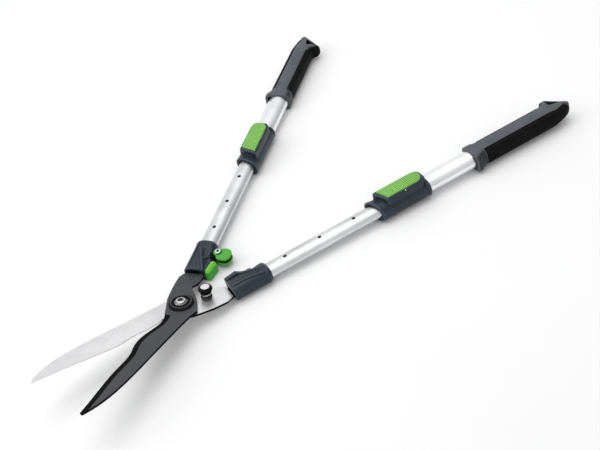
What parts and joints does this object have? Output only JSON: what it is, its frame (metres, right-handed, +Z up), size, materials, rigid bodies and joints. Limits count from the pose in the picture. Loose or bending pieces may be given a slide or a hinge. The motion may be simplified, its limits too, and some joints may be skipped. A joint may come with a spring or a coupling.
{
  "type": "telescopic hedge shears",
  "caption": "Manual hedge shears with wavy-edged blades on a pivot, telescopic oval-tube arms with push-button clamps, a closing latch and soft hooked grips.",
  "frame": {"origin": "centre of the bounding box, on the surface the shears lie on", "axes": "+X from the blades towards the grips, +Y towards the left arm, +Z up from the surface the shears lie on"},
  "size_m": [0.718, 0.4678, 0.0587],
  "materials": {
    "bright_steel": "bright brushed, ground edge",
    "coated_steel": "satin dark coating",
    "chrome": "polished",
    "zinc_steel": "zinc plated",
    "black_plastic": "smooth",
    "slate_plastic": "fine matte texture",
    "green_plastic": "satin",
    "green_rubber": "soft, satin",
    "grip_grey": "fine matte texture",
    "rubber": "matte",
    "inner_aluminium": "satin",
    "outer_aluminium": "polished",
    "nylon": "plain",
    "spring_steel": "plain"
  },
  "bodies": {
    "right_lever": {"silver_blade": "bright_steel", "pivot_bush": "zinc_steel", "pivot_screw": "chrome", "pivot_washer": "zinc_steel", "pivot_nut": "zinc_steel", "stop_bolt": "chrome", "stop_ring": "rubber", "stop_nut": "zinc_steel", "right_inner_tube": "inner_aluminium", "right_slider_bush": "nylon", "right_ferrule": "slate_plastic", "right_tang_insert": "nylon", "right_ferrule_screws": "zinc_steel"},
    "left_lever": {"black_blade": "coated_steel", "pivot_disc": "black_plastic", "bumper": "green_rubber", "latch_screw": "chrome", "left_inner_tube": "inner_aluminium", "left_slider_bush": "nylon", "left_ferrule": "slate_plastic", "left_tang_insert": "nylon", "left_ferrule_screws": "zinc_steel"},
    "right_handle": {"right_outer_tube": "outer_aluminium", "right_front_bush": "black_plastic", "right_tube_plug": "nylon", "right_clamp_housing": "slate_plastic", "right_button_pin": "chrome", "right_button_spring": "spring_steel", "right_clamp_screw": "zinc_steel", "right_grip_core": "grip_grey", "right_grip_rubber": "rubber", "right_grip_screw": "zinc_steel"},
    "left_handle": {"left_outer_tube": "outer_aluminium", "left_front_bush": "black_plastic", "left_tube_plug": "nylon", "left_clamp_housing": "slate_plastic", "left_button_pin": "chrome", "left_button_spring": "spring_steel", "left_clamp_screw": "zinc_steel", "left_grip_core": "grip_grey", "left_grip_rubber": "rubber", "left_grip_screw": "zinc_steel"},
    "right_button": {"right_button": "green_plastic", "right_lock_pin": "zinc_steel"},
    "left_button": {"left_button": "green_plastic", "left_lock_pin": "zinc_steel"},
    "latch": {"latch": "green_plastic"}
  },
  "joints": [
    {"name": "blade_pivot", "type": "hinge", "parent": "right_lever", "child": "left_lever", "pos_m": [-0.16614, 0, 0.02053], "axis": [0.1838, 0, 0.983], "range_deg": [-24, 45]},
    {"name": "right_telescope", "type": "slide", "parent": "right_lever", "child": "right_handle", "axis": [0.9257, -0.3781, 0.0093], "range_m": [-0.15, 0], "deforming": ["right_lock_pin"]},
    {"name": "left_telescope", "type": "slide", "parent": "left_lever", "child": "left_handle", "axis": [0.9257, 0.3781, 0.0093], "range_m": [-0.15, 0], "deforming": ["left_lock_pin"]},
    {"name": "right_button_rock", "type": "hinge", "parent": "right_handle", "child": "right_button", "pos_m": [0.11931, -0.12613, 0.03081], "axis": [0.3777, 0.9232, -0.0707], "range_deg": [0, 5], "stiffness_Nm_per_rad": 0.9, "springref_deg": -3.44, "deforming": ["right_button_spring"]},
    {"name": "left_button_rock", "type": "hinge", "parent": "left_handle", "child": "left_button", "pos_m": [0.11931, 0.12613, 0.03081], "axis": [-0.3777, 0.9232, 0.0707], "range_deg": [0, 5], "stiffness_Nm_per_rad": 0.9, "springref_deg": -3.44, "deforming": ["left_button_spring"]},
    {"name": "latch_turn", "type": "hinge", "parent": "left_lever", "child": "latch", "pos_m": [-0.07303, 0.02628, 0.00986], "axis": [0.0181, -0.0689, 0.9975], "range_deg": [0, 60]}
  ]
}
